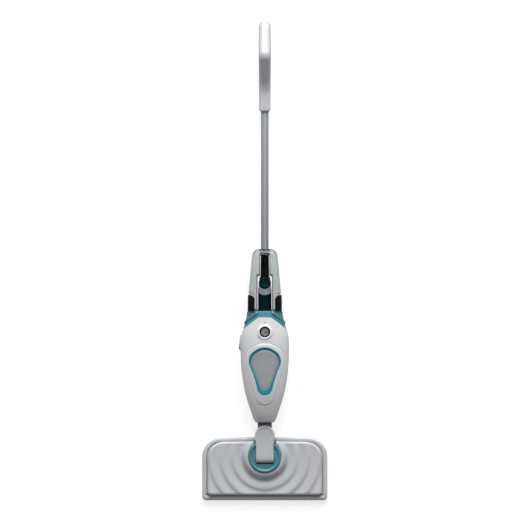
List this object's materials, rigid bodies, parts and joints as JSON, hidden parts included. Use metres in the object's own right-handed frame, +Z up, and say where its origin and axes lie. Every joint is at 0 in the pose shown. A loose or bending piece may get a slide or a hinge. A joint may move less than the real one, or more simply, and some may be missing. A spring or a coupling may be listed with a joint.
{
  "type": "steam mop",
  "caption": "Upright electric steam mop with a flat rectangular head, swivelling neck, teardrop body, clear water tank on a thin tube and a closed loop handle.",
  "frame": {"origin": "centre of the underside of the mop pad, on the floor", "axes": "+Y back along the stick towards the handle, +Z up from the floor and out of the front of the body, +X to the right"},
  "size_m": [0.3, 1.1478, 0.1093],
  "materials": {
    "pad": "white microfibre pile",
    "hooks": "moulded hook tape",
    "head_grey": "light grey moulding",
    "neck_grey": "grey moulding",
    "body_white": "pearl white moulding",
    "bezel_white": "white moulding",
    "teal": "teal moulding",
    "badge_silver": "silver-grey plate, shaded towards its foot",
    "dark_plastic": "dark grey moulding",
    "black_plastic": "black moulding",
    "petrol": "dark petrol moulding",
    "grey_blue": "light grey-blue moulding",
    "dial_grey": "grey moulding",
    "lens": "smoked lens",
    "clear_tank": "clear moulding",
    "tube_paint": "silver-grey paint",
    "steel": "plated steel",
    "cast_aluminium": "as cast",
    "seal_rubber": "black silicone",
    "hose": "translucent silicone",
    "board": "green circuit board",
    "pump_body": "blue moulding"
  },
  "bodies": {
    "pad": {"mop_pad": "pad"},
    "head": {"hook_strips": "hooks", "head_base": "head_grey", "head_cover": "head_grey", "trim_ring": "teal", "pivot_cradle": "dark_plastic", "tilt_axle": "steel", "cradle_screws": "steel", "cover_screws": "steel", "steam_diffuser": "dark_plastic", "steam_elbow": "dark_plastic"},
    "neck": {"neck_body": "neck_grey", "neck_cover": "neck_grey", "swivel_pin": "steel", "neck_hose": "hose"},
    "body": {"connector": "dark_plastic", "front_shell": "body_white", "rear_shell": "body_white", "collar": "teal", "badge_ring": "teal", "badge_plate": "badge_silver", "index_lens": "lens", "dial_bezel": "bezel_white", "dial_seat": "black_plastic", "dial_valve": "dark_plastic", "rocker_bezel": "neck_grey", "switch_block": "black_plastic", "boiler": "cast_aluminium", "heater_rods": "steel", "thermostat": "steel", "thermal_fuse": "steel", "pump": "pump_body", "inlet_hose": "hose", "outlet_hose": "hose", "steam_pipe": "steel", "control_board": "board", "cable_gland": "seal_rubber", "shell_screws": "steel", "tank_deck": "dark_plastic", "tank_seat": "dark_plastic", "deck_screws": "steel", "handle_spine": "petrol", "handle_socket": "black_plastic", "button_spring": "steel", "button_guard": "grey_blue", "tank_cradle": "black_plastic", "tank_seal": "seal_rubber", "lower_cord_hook": "dark_plastic", "stick_tube": "tube_paint", "hook_base": "dark_plastic", "handle_left": "body_white", "handle_right": "body_white", "handle_screws": "steel"},
    "dial": {"steam_dial": "dial_grey"},
    "rocker": {"power_rocker": "black_plastic"},
    "button": {"release_button": "petrol"},
    "tank": {"tank_shell": "clear_tank"},
    "cap": {"tank_cap": "petrol"},
    "hook": {"cord_hook": "dark_plastic"}
  },
  "joints": [
    {"name": "pad_peel", "type": "slide", "parent": "pad", "child": "head", "axis": [0, 0, 1], "range_m": [0, 0.05]},
    {"name": "neck_tilt", "type": "hinge", "parent": "head", "child": "neck", "pos_m": [0, 0.028, 0.034], "axis": [1, 0, 0], "range_deg": [0, 90]},
    {"name": "body_swivel", "type": "hinge", "parent": "neck", "child": "body", "pos_m": [0, 0.078, 0.038], "axis": [0, 0, 1], "range_deg": [-45, 45]},
    {"name": "steam_dial_turn", "type": "hinge", "parent": "body", "child": "dial", "pos_m": [0, 0.3235, 0.09], "axis": [0, 0, 1], "range_deg": [-135, 0]},
    {"name": "power_rocker_tilt", "type": "hinge", "parent": "body", "child": "rocker", "pos_m": [-0.0565, 0.2995, 0.055], "axis": [0, 0, 1], "range_deg": [0, 12]},
    {"name": "tank_release_press", "type": "slide", "parent": "body", "child": "button", "axis": [0, 0, -1], "range_m": [0, 0.0035], "stiffness_N_per_m": 800, "springref_m": -0.002},
    {"name": "tank_lift", "type": "slide", "parent": "body", "child": "tank", "axis": [0, 1, 0], "range_m": [0, 0.15]},
    {"name": "tank_cap_turn", "type": "hinge", "parent": "tank", "child": "cap", "pos_m": [0.025, 0.368, 0.055], "axis": [0, 1, 0], "range_deg": [0, 90]},
    {"name": "cord_hook_turn", "type": "hinge", "parent": "body", "child": "hook", "pos_m": [0, 0.874, 0.02], "axis": [0, 0, 1], "range_deg": [0, 180]}
  ]
}
